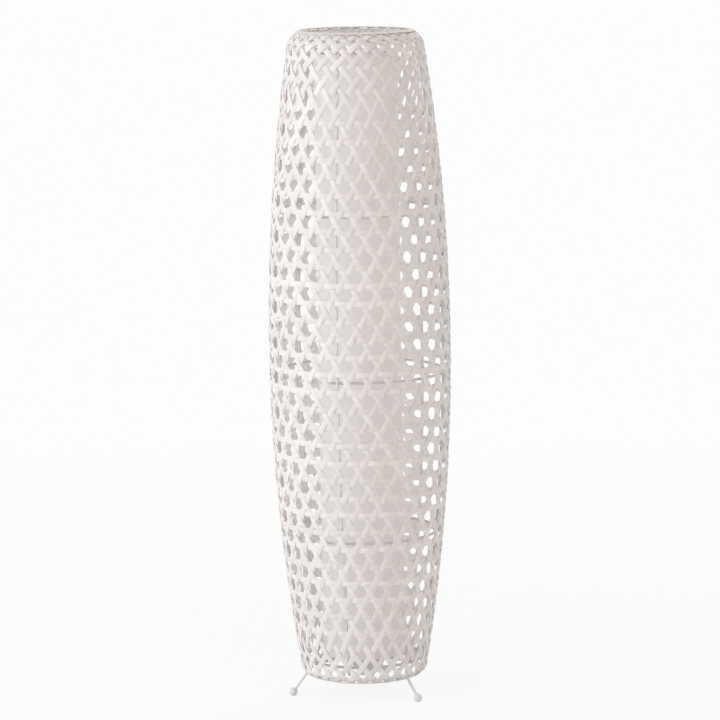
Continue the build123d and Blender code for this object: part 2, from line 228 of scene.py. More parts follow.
class WeaveSizes(bpy.types.PropertyGroup):
    """The strips and how they cross."""

    strip_count: IntProperty(
        name="Strips", description="Diagonal strips in each direction", default=27, min=3
    )
    strip_width: FloatProperty(
        name="Strip Width", description="Width of a strip", default=0.0079, unit="LENGTH"
    )
    strip_thickness: FloatProperty(
        name="Strip Thickness", description="Thickness of a strip", default=0.0009, unit="LENGTH"
    )
    crown: FloatProperty(
        name="Crown", description="How far a strip's face rises in the middle", default=0.00025, unit="LENGTH"
    )
    lift: FloatProperty(
        name="Lift", description="How far a strip rises over a crossing", default=0.00095, unit="LENGTH"
    )
    wander: FloatProperty(
        name="Wander", description="How far a strip strays sideways", default=0.0014, unit="LENGTH"
    )
    foot_border: FloatProperty(
        name="Foot Border",
        description="Where strips turn along the bottom rim",
        default=0.0054,
        unit="LENGTH",
    )
    neck_border: FloatProperty(
        name="Neck Border",
        description="Where strips turn along the top rim",
        default=0.012,
        unit="LENGTH",
    )
    border_laps: FloatProperty(
        name="Border Laps", description="Neighbours that a turned end passes", default=3.2, min=1.0
    )
    hoop_pitch: FloatProperty(
        name="Hoop Pitch", description="Spacing of the hoops", default=0.0263, unit="LENGTH"
    )
    hoop_lap: FloatProperty(
        name="Hoop Lap", description="Angle over which a hoop's ends overlap", default=0.28, subtype="ANGLE"
    )
    foot_zone: FloatProperty(
        name="Foot Zone",
        description="Length over which the rows close up below",
        default=0.08,
        unit="LENGTH",
    )
    foot_rim_pitch: FloatProperty(
        name="Foot Rim Pitch", description="Row spacing at the bottom rim", default=0.008, unit="LENGTH"
    )
    neck_zone: FloatProperty(
        name="Neck Zone",
        description="Length over which the rows close up above",
        default=0.138,
        unit="LENGTH",
    )
    neck_rim_pitch: FloatProperty(
        name="Neck Rim Pitch", description="Row spacing at the top rim", default=0.005, unit="LENGTH"
    )
    leg_exit_turn: FloatProperty(
        name="Leg Exit",
        description="Where the legs leave the bottom curl, as an angle from its rim",
        default=math.radians(38),
        subtype="ANGLE",
    )
    leg_azimuth: FloatProperty(
        name="Leg Azimuth",
        description="Turn of the first leg from the front",
        default=math.radians(60),
        subtype="ANGLE",
    )
    seed: IntProperty(name="Seed", description="Seed of the hand-made unevenness", default=7)


class HardwareSizes(bpy.types.PropertyGroup):
    """Small details of the metal pieces."""

    uprights: IntProperty(name="Uprights", description="Ribs and legs round the frame", default=6, min=3)
    weld_reach: FloatProperty(
        name="Weld Reach", description="Half the width of a weld bead", default=0.0019, unit="LENGTH"
    )
    weld_depth: FloatProperty(
        name="Weld Depth", description="Half the depth of a weld bead", default=0.0011, unit="LENGTH"
    )
    thread_pitch: FloatProperty(
        name="Thread Pitch",
        description="Rise of the bulb's thread in a turn",
        default=0.00362,
        unit="LENGTH",
    )
    thread_depth: FloatProperty(
        name="Thread Depth", description="Depth of the rolled thread", default=0.0006, unit="LENGTH"
    )
    thread_runout: FloatProperty(
        name="Thread Runout",
        description="Plain length at the ends of the thread",
        default=0.0025,
        unit="LENGTH",
    )
    cap_wall: FloatProperty(
        name="Cap Wall", description="Sheet thickness of the screw cap", default=0.0003, unit="LENGTH"
    )


class FinishColours(bpy.types.PropertyGroup):
    """Colours that a user would change."""

    bamboo: FloatVectorProperty(
        name="Bamboo", description="Paint on the strips", default=(0.83, 0.81, 0.795), subtype="COLOR"
    )
    # Lighter than the outer paint: painted light that brightens the inside of the weave.
    bamboo_inside_painted_light: FloatVectorProperty(
        name="Bamboo Inside",
        description="Paint on the inner faces",
        default=(0.93, 0.915, 0.90),
        subtype="COLOR",
    )
    bamboo_bare: FloatVectorProperty(
        name="Bare Bamboo", description="Bamboo under thin paint", default=(0.70, 0.64, 0.53), subtype="COLOR"
    )
    wire: FloatVectorProperty(
        name="Wire", description="Powder coat on the frame", default=(0.76, 0.755, 0.755), subtype="COLOR"
    )
    diffuser: FloatVectorProperty(
        name="Diffuser", description="Film of the inner tube", default=(0.94, 0.93, 0.925), subtype="COLOR"
    )


class LampSettings(bpy.types.PropertyGroup):
    """All settings of the lamp."""

    barrel: PointerProperty(type=BarrelSizes, name="Barrel", description="Outline of the barrel")
    weave: PointerProperty(type=WeaveSizes, name="Weave", description="Strips and crossings")
    hardware: PointerProperty(type=HardwareSizes, name="Hardware", description="Welds and thread")
    colours: PointerProperty(type=FinishColours, name="Colours", description="Colours of the finishes")


class Flow:
    """A socket of a node tree: arithmetic on it adds Math nodes, and node() adds any other node."""

    def __init__(self, tree, socket=None):
        self.tree = tree
        self.socket = socket

    def feed(self, target, value):
        """Link a flow to a socket, or set the socket's own value."""
        if isinstance(value, Flow):
            self.tree.links.new(value.socket, target)
        else:
            target.default_value = value

    def fill(self, node, sockets):
        """Feed several sockets of a node."""
        for name, value in sockets.items():
            self.feed(node.inputs[name], value)

    def node(self, kind, settings, sockets, output=0):
        """Add a node of a kind, with its settings first, then the values or links of its sockets."""
        made = self.tree.nodes.new(kind)
        for name, value in settings.items():
            setattr(made, name, value)
        self.fill(made, sockets)
        return Flow(self.tree, made.outputs[output])

    def math(self, operation, left, right):
        """One Math node on two values."""
        return self.node("ShaderNodeMath", {"operation": operation}, {0: left, 1: right})

    def __add__(self, other):
        return self.math("ADD", self, other)

    def __radd__(self, other):
        return self.math("ADD", other, self)

    def __mul__(self, other):
        return self.math("MULTIPLY", self, other)

    def __rmul__(self, other):
        return self.math("MULTIPLY", other, self)

    def place(self):
        """Place on the object, in metres."""
        return self.node("ShaderNodeTexCoord", {}, {}, output="Object")

    def mask(self, name):
        """A number stored on the mesh's points."""
        return self.node("ShaderNodeAttribute", {"attribute_name": name}, {}, output="Fac")

    def vectors(self, operation, first, second):
        """One Vector Math node on two vectors."""
        return self.node("ShaderNodeVectorMath", {"operation": operation}, {0: first, 1: second})

    def noise(self, vector, scale, detail=3.0, roughness=0.55):
        """Soft noise from 0 to 1 over a vector."""
        sockets = {"Vector": vector, "Scale": scale, "Detail": detail, "Roughness": roughness}
        return self.node("ShaderNodeTexNoise", {}, sockets)

    def grain(self, vector, cells, detail=3.0, roughness=0.55):
        """Soft noise with its own number of cells a metre in each direction."""
        return self.noise(self.vectors("MULTIPLY", vector, cells), 1.0, detail, roughness)

    def ramp(self, value, low, high):
        """Smooth step of a value from 0 at low to 1 at high."""
        settings = {"interpolation_type": "SMOOTHSTEP"}
        return self.node("ShaderNodeMapRange", settings, {0: value, 1: low, 2: high})

    def mix(self, factor, first, second):
        """Colour between two colours, which have the node's sockets 6 and 7."""
        return self.node("ShaderNodeMix", {"data_type": "RGBA"}, {0: factor, 6: first, 7: second}, output=2)

    def bump(self, height, strength, distance):
        """Normal from a height."""
        sockets = {"Height": height, "Strength": strength, "Distance": distance}
        return self.node("ShaderNodeBump", {}, sockets)


def new_finish(name):
    """A material with an empty surface shader. Returns (material, start of its flow, shader)."""
    material = bpy.data.materials.new(name)
    material.use_nodes = True
    tree = material.node_tree
    shader = next(n for n in tree.nodes if n.type == "BSDF_PRINCIPLED")
    return material, Flow(tree), shader


def opaque(colour, share=1.0):
    """Four-part colour from a three-part one, darkened or lightened to a share."""
    return (colour[0] * share, colour[1] * share, colour[2] * share, 1.0)


def painted_bamboo(colours):
    """White paint on split bamboo: fibres along the strip, thin paint at the edges, a tone for each strip,
    and painted light on the inner faces (a lighter colour and a faint glow).
    """
    material, flow, shader = new_finish("painted_bamboo")
    along = flow.node("ShaderNodeUVMap", {"uv_map": "strip"}, {})
    tone = flow.mask("strip_tone")
    edge = flow.mask("strip_edge")
    shift = flow.node("ShaderNodeCombineXYZ", {}, {"X": tone * 7.0, "Y": 0.0, "Z": tone * 31.0})
    place = flow.vectors("ADD", along, shift)
    fibres = flow.grain(place, FIBRE_CELLS, detail=4.0, roughness=0.65)
    streaks = flow.grain(place, STREAK_CELLS, detail=3.0, roughness=0.6)
    patches = flow.grain(place, PATCH_CELLS, detail=2.0, roughness=0.5)
    brush = flow.grain(place, BRUSH_CELLS, detail=2.0, roughness=0.5)
    length = flow.node("ShaderNodeSeparateXYZ", {}, {0: along}) + tone * 5.0 + streaks * 0.002
    knuckle = flow.ramp(flow.math("PINGPONG", length, KNUCKLE_REACH), low=0.0035, high=0.0008)
    worn = flow.ramp(edge * 0.55 + streaks * 0.55 + patches * 0.25, low=0.72, high=1.12)
    bare = flow.math("MAXIMUM", worn * 0.42, knuckle * 0.22)
    # Mask of the inner faces, which get painted light: a lighter colour than the outer paint and a faint
    # glow.
    inside = flow.ramp(edge, low=INNER_FACE / 2, high=INNER_FACE)
    light = flow.mix(patches, opaque(colours.bamboo, 0.95), opaque(colours.bamboo, 1.04))
    toned = flow.mix(flow.ramp(tone, low=0.0, high=1.0), opaque(colours.bamboo, 0.90), light)
    dark = flow.ramp(fibres, low=0.58, high=0.82) * 0.30
    streaked = flow.mix(dark, toned, opaque(colours.bamboo, 0.82))
    outside = flow.mix(bare, streaked, opaque(colours.bamboo_bare))
    height = fibres * 0.50 + streaks * 0.28 + brush * 0.12 + knuckle * 0.9
    sockets = {
        "Base Color": flow.mix(inside, outside, opaque(colours.bamboo_inside_painted_light)),
        "Emission Color": flow.mix(inside, (0.0, 0.0, 0.0, 1.0), opaque(colours.bamboo_inside_painted_light)),
        "Emission Strength": BAMBOO_PAINTED_GLOW,
        "Roughness": 0.44 + fibres * 0.16 + worn * 0.12,
        "Normal": flow.bump(height, strength=0.5, distance=0.0006),
    }
    flow.fill(shader, sockets)
    return material


def powder_coat(colours):
    """White powder coat on wire: fine orange peel, a little grey where it lies thin."""
    material, flow, shader = new_finish("powder_coat")
    place = flow.place()
    peel = flow.noise(place, scale=900.0, detail=2.0)
    thin = flow.ramp(flow.noise(place, scale=24.0), low=0.35, high=0.75)
    sockets = {
        "Base Color": flow.mix(thin, opaque(colours.wire), opaque(colours.wire, 0.9)),
        "Roughness": 0.34 + peel * 0.14,
        "Normal": flow.bump(peel, strength=0.25, distance=0.0003),
    }
    flow.fill(shader, sockets)
    return material


def diffuser_film(colours):
    """Matte film of the inner tube: faint fibres in it, a slow drift of tone, and a painted glow though the
    lamp is off.
    """
    material, flow, shader = new_finish("diffuser_film")
    place = flow.place()
    cloud = flow.grain(place, cells=(18.0, 18.0, 4.0))
    fibres = flow.grain(place, cells=(420.0, 420.0, 130.0), detail=4.0, roughness=0.6)
    dark = flow.ramp(fibres, low=0.6, high=0.8) * 0.2
    toned = flow.mix(cloud, opaque(colours.diffuser, 0.95), opaque(colours.diffuser, 1.03))
    sockets = {
        "Base Color": flow.mix(dark, toned, opaque(colours.diffuser, 0.88)),
        "Roughness": 0.62 + fibres * 0.2,
        # Painted glow: the film shines a little though the lamp is off.
        "Emission Color": toned,
        "Emission Strength": FILM_PAINTED_GLOW,
        "Normal": flow.bump(fibres * 0.7 + cloud * 0.3, strength=0.2, distance=0.0005),
    }
    flow.fill(shader, sockets)
    return material


def moulded(name, colour, roughness, coat=0.0):
    """Moulded plastic or fired clay: a fine grain and a slow drift of gloss."""
    material, flow, shader = new_finish(name)
    place = flow.place()
    grain = flow.noise(place, scale=1400.0, detail=2.0)
    cloud = flow.noise(place, scale=60.0)
    sockets = {
        "Base Color": flow.mix(cloud, opaque(colour, 0.95), opaque(colour)),
        "Roughness": roughness + grain * 0.1 + cloud * 0.06,
        "Normal": flow.bump(grain, strength=0.15, distance=0.0002),
        "Coat Weight": coat,
    }
    flow.fill(shader, sockets)
    return material


def bare_metal(name, colour, roughness):
    """Stamped metal: drawn lines and dull patches."""
    material, flow, shader = new_finish(name)
    place = flow.place()
    lines = flow.grain(place, cells=(90.0, 90.0, 1800.0))
    dull = flow.noise(place, scale=140.0)
    sockets = {
        "Base Color": flow.mix(dull, opaque(colour, 0.82), opaque(colour)),
        "Roughness": roughness + dull * 0.2,
        "Normal": flow.bump(lines, strength=0.2, distance=0.0002),
        "Metallic": 1.0,
    }
    flow.fill(shader, sockets)
    return material


def opal_glass():
    """Opal globe: white, softly glossy, with a faint cloud in it."""
    material, flow, shader = new_finish("opal_globe")
    cloud = flow.noise(flow.place(), scale=45.0)
    sockets = {
        "Base Color": flow.mix(cloud, opaque(OPAL_DIM), opaque(OPAL_CLEAR)),
        "Roughness": 0.22 + cloud * 0.08,
        "Coat Weight": 0.3,
    }
    flow.fill(shader, sockets)
    return material


def dress(names, material):
    """Give CAD nodes a finish."""
    for name in names:
        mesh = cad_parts[name].data
        mesh.materials.clear()
        mesh.materials.append(material)


def rows_within(distance, pitch, closing):
    """Rows between a rim and a distance from it, where their spacing grows from a pitch."""
    return math.log(1 + closing * distance / pitch) / closing


class Barrel:
    """The weave's outline and rows, worked out from the sizes as the solids are."""

    def __init__(self, barrel, weave):
        foot = np.array((barrel.foot_radius, barrel.foot_height))
        belly = np.array((barrel.belly_radius, barrel.belly_height))
        neck = np.array((barrel.neck_radius, barrel.neck_height))
        chords = 2 * np.array((belly - foot, neck - foot))
        squares = np.array((belly @ belly - foot @ foot, neck @ neck - foot @ foot))
        self.centre = np.linalg.solve(chords, squares)
        self.radius = np.linalg.norm(foot - self.centre)
        self.foot_angle = math.asin((foot[1] - self.centre[1]) / self.radius)
        self.neck_angle = math.asin((neck[1] - self.centre[1]) / self.radius)
        facing = np.array((math.cos(self.foot_angle), math.sin(self.foot_angle)))
        self.foot_centre = foot - barrel.foot_curl * facing
        facing = np.array((math.cos(self.neck_angle), math.sin(self.neck_angle)))
        self.neck_centre = neck - barrel.neck_curl * facing
        self.foot_curl = barrel.foot_curl
        self.neck_curl = barrel.neck_curl
        self.foot_length = self.foot_curl * (math.pi / 2 + self.foot_angle)
        self.wall_length = self.radius * (self.neck_angle - self.foot_angle)
        self.neck_length = self.neck_curl * (math.pi / 2 - self.neck_angle)
        self.length = self.foot_length + self.wall_length + self.neck_length
        self.lay_rows(weave)

    def lay_rows(self, weave):
        """Rows of crossings: even where the hoops run, closing up towards both rims."""
        self.pitch = weave.hoop_pitch
        self.foot_zone = weave.foot_zone
        self.foot_pitch = weave.foot_rim_pitch
        self.neck_pitch = weave.neck_rim_pitch
        self.foot_closing = (self.pitch - self.foot_pitch) / weave.foot_zone
        self.neck_closing = (self.pitch - self.neck_pitch) / weave.neck_zone
        self.foot_rows = math.log(self.pitch / self.foot_pitch) / self.foot_closing
        neck_rows = math.log(self.pitch / self.neck_pitch) / self.neck_closing
        self.open_rows = (self.length - weave.foot_zone - weave.neck_zone) / self.pitch
        self.rows = self.foot_rows + self.open_rows + neck_rows
        exit_length = self.foot_curl * weave.leg_exit_turn
        self.exit_row = rows_within(exit_length, self.foot_pitch, self.foot_closing)
        self.first_hoop = math.ceil(self.foot_rows - self.exit_row - 0.5) + 0.5
        self.hoops = int(self.foot_rows + self.open_rows - self.exit_row - self.first_hoop) + 1
        self.step = TAU / weave.strip_count
        self.leg_azimuth = weave.leg_azimuth

    def along(self, row):
        """Distance along the outline from the foot rim, at rows counted from that rim."""
        foot = self.foot_pitch * (np.exp(self.foot_closing * row) - 1) / self.foot_closing
        middle = self.foot_zone + (row - self.foot_rows) * self.pitch
        left = np.maximum(self.rows - row, 0)
        neck = self.length - self.neck_pitch * (np.exp(self.neck_closing * left) - 1) / self.neck_closing
        low = np.where(row < self.foot_rows, foot, middle)
        return np.where(row < self.foot_rows + self.open_rows, low, neck)

    def place(self, distance, azimuth, rise):
        """Points and outward normals at distances along the outline, azimuths and rises over the weave."""
        on_foot = distance < self.foot_length
        on_neck = distance > self.foot_length + self.wall_length

        def pick(foot, neck, wall):
            """What holds on the part of the outline at each distance."""
            return np.where(on_foot, foot, np.where(on_neck, neck, wall))

        angle = pick(
            -math.pi / 2 + distance / self.foot_curl,
            self.neck_angle + (distance - self.foot_length - self.wall_length) / self.neck_curl,
            self.foot_angle + (distance - self.foot_length) / self.radius,
        )
        radius = pick(self.foot_curl, self.neck_curl, self.radius) + rise
        out = pick(self.foot_centre[0], self.neck_centre[0], self.centre[0]) + radius * np.cos(angle)
        up = pick(self.foot_centre[1], self.neck_centre[1], self.centre[1]) + radius * np.sin(angle)
        side = np.stack((np.sin(azimuth), -np.cos(azimuth)))
        points = np.stack((out * side[0], out * side[1], up), axis=-1)
        normals = np.stack((np.cos(angle) * side[0], np.cos(angle) * side[1], np.sin(angle)), axis=-1)
        return points, normals


def unit(vectors):
    """Vectors of length one."""
    return vectors / np.linalg.norm(vectors, axis=-1, keepdims=True)


def smooth(value):
    """Smooth step from 0 to 1."""
    value = np.clip(value, 0, 1)
    return value * value * (3 - 2 * value)


def drift(dice, length, waves, count):
    """Smooth unevenness from about -1 to 1 along a strip: a few waves at random phases."""
    way = np.linspace(0, 1, count) * length
    total = np.zeros(count)
    for wave in waves:
        total += np.sin(TAU * way / wave + dice.uniform(0, TAU)) * dice.uniform(0.5, 1.0)
    return total / len(waves)


def widths_and_rolls(dice, manner, count):
    """How one strip's width and roll vary along it."""
    widths = 1 + dice.uniform(-manner.width_spread, manner.width_spread)
    widths = widths + manner.width_swell * drift(dice, manner.length, manner.width_waves, count)
    return widths, manner.roll * drift(dice, manner.length, manner.roll_waves, count)


def strip_section(weave):
    """Section of a split strip, flat inside, crowned and eased outside. Columns: across, out, edge mask."""
    half = weave.strip_width / 2
    skin = weave.strip_thickness / 2
    ease = half * 0.72
    shoulder = skin + weave.crown * 0.6
    lip = skin * 0.35
    return [
        (-half, -skin, INNER_FACE),
        (half, -skin, INNER_FACE),
        (half, lip, 1.0),
        (ease, shoulder, SHOULDER_EDGE),
        (0.0, skin + weave.crown, 0.0),
        (-ease, shoulder, SHOULDER_EDGE),
        (-half, lip, 1.0),
    ]


def show_mesh(mesh, material):
    """Object for a finished mesh, smooth except at its sharp edges."""
    mesh.shade_smooth()
    mesh.set_sharp_from_angle(angle=SHARP_ANGLE)
    mesh.materials.append(material)
    piece = bpy.data.objects.new(mesh.name, mesh)
    bpy.context.scene.collection.objects.link(piece)
    return piece


class StripMesh:
    """Collects strips into one mesh with lengthwise coordinates, a tone for each strip and an edge mask."""

    def __init__(self, section):
        self.section = np.array(section)
        self.points = []
        self.faces = []
        self.strip = []
        self.tone = []
        self.edge = []
        self.count = 0

    def add(self, points, normals, widths, thins, rolls, tone):
        """Sweep the section along points, with the strip's face towards the normals."""
        heading = unit(np.gradient(points, axis=0))
        across = unit(np.cross(normals, heading))
        facing = np.cross(heading, across)
        turned = across * np.cos(rolls)[:, None] + facing * np.sin(rolls)[:, None]
        facing = np.cross(heading, turned)
        sides = len(self.section)
        rings = len(points)
        sideways = self.section[None, :, 0, None] * widths[:, None, None]
        outwards = self.section[None, :, 1, None] * thins[:, None, None]
        ring = points[:, None, :] + turned[:, None, :] * sideways
        ring = ring + facing[:, None, :] * outwards
        self.points.append(ring.reshape(-1, 3))
        way = np.concatenate(([0], np.cumsum(np.linalg.norm(np.diff(points, axis=0), axis=1))))
        off = np.tile(self.section[:, 0], rings) * np.repeat(widths, sides)
        self.strip.append(np.stack((np.repeat(way, sides), off), axis=-1))
        self.tone.append(np.full(rings * sides, tone))
        self.edge.append(np.tile(self.section[:, 2], rings))
        self.add_faces(rings, sides)

    def add_faces(self, rings, sides):
        """Faces between the rings of the last strip, and one at each end."""
        start = self.count
        ring_starts = np.arange(rings - 1)[:, None] * sides
        here = start + (ring_starts + np.arange(sides)[None, :])
        beside = start + (ring_starts + (np.arange(sides)[None, :] + 1) % sides)
        self.faces += np.stack((here, beside, beside + sides, here + sides), axis=-1).reshape(-1, 4).tolist()
        self.faces.append(list(range(start, start + sides))[::-1])
        last = start + (rings - 1) * sides
        self.faces.append(list(range(last, last + sides)))
        self.count += rings * sides

    def make(self, name, material):
        """Make the object."""
        mesh = bpy.data.meshes.new(name)
        mesh.from_pydata(np.concatenate(self.points).tolist(), [], self.faces)
        corners = np.zeros(len(mesh.loops), np.int32)
        mesh.loops.foreach_get("vertex_index", corners)
        layer = mesh.uv_layers.new(name="strip")
        layer.data.foreach_set("uv", np.concatenate(self.strip)[corners].astype(np.float32).ravel())
        for label, values in (("strip_tone", self.tone), ("strip_edge", self.edge)):
            attribute = mesh.attributes.new(label, "FLOAT", "POINT")
            attribute.data.foreach_set("value", np.concatenate(values).astype(np.float32))
        return show_mesh(mesh, material)


def diagonal_rise(barrel, crossing, lean, lift):
    """Over and under along a diagonal: three-way weave where hoops run, plain weave towards the rims."""
    three_way = -lean * np.cos(TAU * crossing)
    plain = lean * np.cos(math.pi * crossing)
    low = barrel.first_hoop - 0.5
    high = barrel.first_hoop + barrel.hoops - 0.5
    share = smooth((crossing - low) / BLEND_ROWS) * smooth((high - crossing) / BLEND_ROWS)
    return lift * (plain * (1 - share) + three_way * share)


def turned_end(weave, step, turn, start, slope, radius, lean, rise):
    """A strip's end along a rim: its way, distance from the rim, rise, width and how far it is laid in."""
    way = np.linspace(0, weave.border_laps * step * radius, turn.points)[1:]
    bending = (slope - turn.last_slope) * turn.bend * (1 - np.exp(-way / turn.bend))
    tuck = weave.strip_thickness * TUCK_SHARE * weave.border_laps
    tucked = -lean * (weave.lift + tuck * (1 - way / way[-1]))
    laid = smooth(way / TUCK_LENGTH)
    return {
        "way": way,
        "distance": start - turn.last_slope * way - bending,
        "rise": rise + (tucked - rise) * laid,
        "width": 1 - turn.narrowing * smooth(way / turn.narrowing_length),
        "laid": laid,
    }


def diagonal_path(barrel, weave, lean):
    """One strip from rim to rim: distance, azimuth, rise, shares of width and thickness, room to stray."""
    first = rows_within(weave.foot_border, barrel.foot_pitch, barrel.foot_closing)
    left = rows_within(weave.neck_border, barrel.neck_pitch, barrel.neck_closing)
    row = np.linspace(first, barrel.rows - left, int((barrel.rows - left - first) * ROW_STEPS))
    crossing = row - barrel.exit_row
    distance = barrel.along(row)
    azimuth = barrel.leg_azimuth + (lean * crossing + 1) * barrel.step / 2
    rise = diagonal_rise(barrel, crossing, lean, weave.lift)
    radius = barrel.foot_centre[0]
    slope = (barrel.foot_pitch + barrel.foot_closing * weave.foot_border) / (radius * barrel.step / 2)
    foot = turned_end(weave, barrel.step, FOOT_TURN, weave.foot_border, slope, radius, lean, rise[0])
    foot_azimuth = azimuth[0] - lean * foot["way"] / radius
    radius = barrel.neck_centre[0]
    slope = (barrel.neck_pitch + barrel.neck_closing * weave.neck_border) / (radius * barrel.step / 2)
    neck = turned_end(weave, barrel.step, NECK_TURN, weave.neck_border, slope, radius, lean, rise[-1])
    neck_azimuth = azimuth[-1] + lean * neck["way"] / radius
    full = np.ones(len(row))
    held = np.zeros(len(foot["way"]))
    free = smooth((distance - weave.foot_border) / FREE_LENGTH)
    stretches = {
        "distance": (foot["distance"][::-1], distance, barrel.length - neck["distance"]),
        "azimuth": (foot_azimuth[::-1], azimuth, neck_azimuth),
        "rise": (foot["rise"][::-1], rise, neck["rise"]),
        "width": (foot["width"][::-1], full, neck["width"]),
        "thin": (1 - TUCK_THINNING * foot["laid"][::-1], full, 1 - TUCK_THINNING * neck["laid"]),
        "free": (held, free, 1 - NECK_HOLD * neck["laid"]),
    }
    return {name: np.concatenate(stretch) for name, stretch in stretches.items()}


def weave_diagonals(barrel, weave, lean, name, material):
    """All strips that lean one way. Their ends turn along both rims, inside if they lean right."""
    dice = np.random.default_rng(weave.seed + (1 if lean > 0 else 2))
    mesh = StripMesh(strip_section(weave))
    path = diagonal_path(barrel, weave, lean)
    free = path["free"]
    samples = len(free)
    for strip in range(weave.strip_count):
        azimuth = path["azimuth"] + strip * barrel.step
        stray = drift(dice, DIAGONALS.length, DIAGONALS.stray_waves, samples) * weave.wander * free
        rise = path["rise"] + drift(dice, DIAGONALS.length, LIFT_WAVES, samples) * LIFT_DRIFT * free
        distance = np.clip(path["distance"] + stray, 0, barrel.length)
        points, normals = barrel.place(distance, azimuth, rise)
        widths, rolls = widths_and_rolls(dice, DIAGONALS, samples)
        mesh.add(points, normals, widths * path["width"], path["thin"], rolls * free, dice.uniform(0, 1))
    return mesh.make(name, material)


def weave_hoops(barrel, weave, name, material):
    """Level hoops with lapped ends, over the strips that lean left and under those that lean right."""
    dice = np.random.default_rng(weave.seed)
    mesh = StripMesh(strip_section(weave))
    turn = TAU + weave.hoop_lap
    samples = int(weave.strip_count * HOOP_STEPS * turn / TAU)
    way = np.linspace(0, 1, samples)
    for hoop in range(barrel.hoops):
        crossing = barrel.first_hoop + hoop
        meeting = barrel.leg_azimuth + (crossing + 1) * barrel.step / 2
        azimuth = dice.uniform(0, TAU) + way * turn
        rise = -weave.lift * np.cos(TAU * (azimuth - meeting) / barrel.step)
        rise = rise + (way - 0.5) * weave.strip_thickness * HOOP_LAP_RISE
        tilt = np.sin(azimuth + dice.uniform(0, TAU)) * dice.uniform(0.2, 1.0) * HOOP_TILT
        stray = tilt + drift(dice, HOOPS.length, HOOPS.stray_waves, samples) * weave.wander
        distance = barrel.along(np.full(samples, crossing + barrel.exit_row)) + stray
        points, normals = barrel.place(distance, azimuth, rise)
        widths, rolls = widths_and_rolls(dice, HOOPS, samples)
        mesh.add(points, normals, widths, np.ones(samples), rolls, dice.uniform(0, 1))
    return mesh.make(name, material)


def weld_beads(hardware, material):
    """A flattened bead where each upright wire crosses a ring."""
    beads = bmesh.new()
    shape = Matrix.Diagonal((hardware.weld_depth, hardware.weld_reach, hardware.weld_reach, 1.0))
    for name in WELDED_RINGS:
        low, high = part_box(name)
        touch = Matrix.Translation((high.x, 0.0, (low.z + high.z) / 2))
        for count in range(hardware.uprights):
            turn = Matrix.Rotation(TAU * count / hardware.uprights - TAU / 4, 4, "Z")
            bmesh.ops.create_icosphere(beads, subdivisions=2, radius=1.0, matrix=turn @ touch @ shape)
    mesh = bpy.data.meshes.new("frame_welds")
    beads.to_mesh(mesh)
    beads.free()
    return show_mesh(mesh, material)


def rolled_cap(hardware, material):
    """The bulb's screw cap as one rolled sheet: a right-hand thread between two plain ends."""
    low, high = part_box("bulb_screw_cap")
    levels = np.linspace(low.z, high.z, CAP_LEVELS)
    turns = np.arange(CAP_COLUMNS) / CAP_COLUMNS
    from_end = np.minimum(levels - low.z, high.z - levels)
    fading = np.clip(from_end / hardware.thread_runout, 0.0, 1.0)
    phase = levels[:, None] / hardware.thread_pitch - turns[None, :]
    groove = hardware.thread_depth * fading[:, None] * (0.5 - 0.5 * np.cos(TAU * phase))
    outer = high.x - groove
    radius = np.concatenate((outer, outer[::-1] - hardware.cap_wall))
    height = np.concatenate((levels, levels[::-1]))
    across = radius * np.cos(TAU * turns)
    along = radius * np.sin(TAU * turns)
    points = np.stack((across, along, np.broadcast_to(height[:, None], radius.shape)), axis=-1)
    here = np.arange(len(height))[:, None] * CAP_COLUMNS + np.arange(CAP_COLUMNS)[None, :]
    beside = np.roll(here, -1, axis=1)
    faces = np.stack((here, beside, np.roll(beside, -1, axis=0), np.roll(here, -1, axis=0)), axis=-1)
    mesh = bpy.data.meshes.new("rolled_screw_cap")
    mesh.from_pydata(points.reshape(-1, 3).tolist(), [], faces.reshape(-1, 4).tolist())
    return show_mesh(mesh, material)


class LAMP_OT_weave(bpy.types.Operator):
    """Weave the bamboo skin: strips leaning both ways and the hoops, passing over and under each other."""

    bl_idname = "lamp.weave"
    bl_label = "Weave Bamboo Skin"

    def execute(self, context):
        lamp = context.scene.lamp
        barrel = Barrel(lamp.barrel, lamp.weave)
        bamboo = painted_bamboo(lamp.colours)
        right = weave_diagonals(barrel, lamp.weave, 1, "woven_right_strips", bamboo)
        left = weave_diagonals(barrel, lamp.weave, -1, "woven_left_strips", bamboo)
        hoops = weave_hoops(barrel, lamp.weave, "woven_hoops", bamboo)
        woven = ((right, "weave_right_strips"), (left, "weave_left_strips"), (hoops, "weave_hoops"))
        for piece, node in woven:
            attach(piece, "lamp")
            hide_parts(node)
        return {"FINISHED"}


class LAMP_OT_frame(bpy.types.Operator):
    """Powder coat the rings, ribs, legs and spokes, weld their crossings and finish the ball feet."""

    bl_idname = "lamp.frame"
    bl_label = "Finish Wire Frame"

    def execute(self, context):
        lamp = context.scene.lamp
        coat = powder_coat(lamp.colours)
        dress(FRAME_NODES, coat)
        dress(FOOT_NODES, moulded("ball_foot", lamp.colours.wire, roughness=0.3, coat=0.2))
        welds = weld_beads(lamp.hardware, coat)
        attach(welds, "lamp")
        return {"FINISHED"}


class LAMP_OT_diffuser(bpy.types.Operator):
    """Finish the inner tube that spreads the light."""

    bl_idname = "lamp.diffuser"
    bl_label = "Finish Diffuser"

    def execute(self, context):
        dress(["diffuser_sheet"], diffuser_film(context.scene.lamp.colours))
        return {"FINISHED"}


class LAMP_OT_holder(bpy.types.Operator):
    """Finish the lampholder inside and out."""

    bl_idname = "lamp.holder"
    bl_label = "Finish Lampholder"

    def execute(self, context):
        dress(HOLDER_NODES, moulded("holder_plastic", HOLDER_WHITE, roughness=0.35))
        dress(["contact_block"], moulded("contact_ceramic", CERAMIC_CREAM, roughness=0.55))
        dress(["centre_contact", "screw_shell"], bare_metal("brass", BRASS, roughness=0.28))
        dress(["terminal_screws"], bare_metal("screw_steel", STEEL, roughness=0.3))
        dress(["cord_grip_screw"], moulded("grip_screw_plastic", GRIP_WHITE, roughness=0.4))
        return {"FINISHED"}


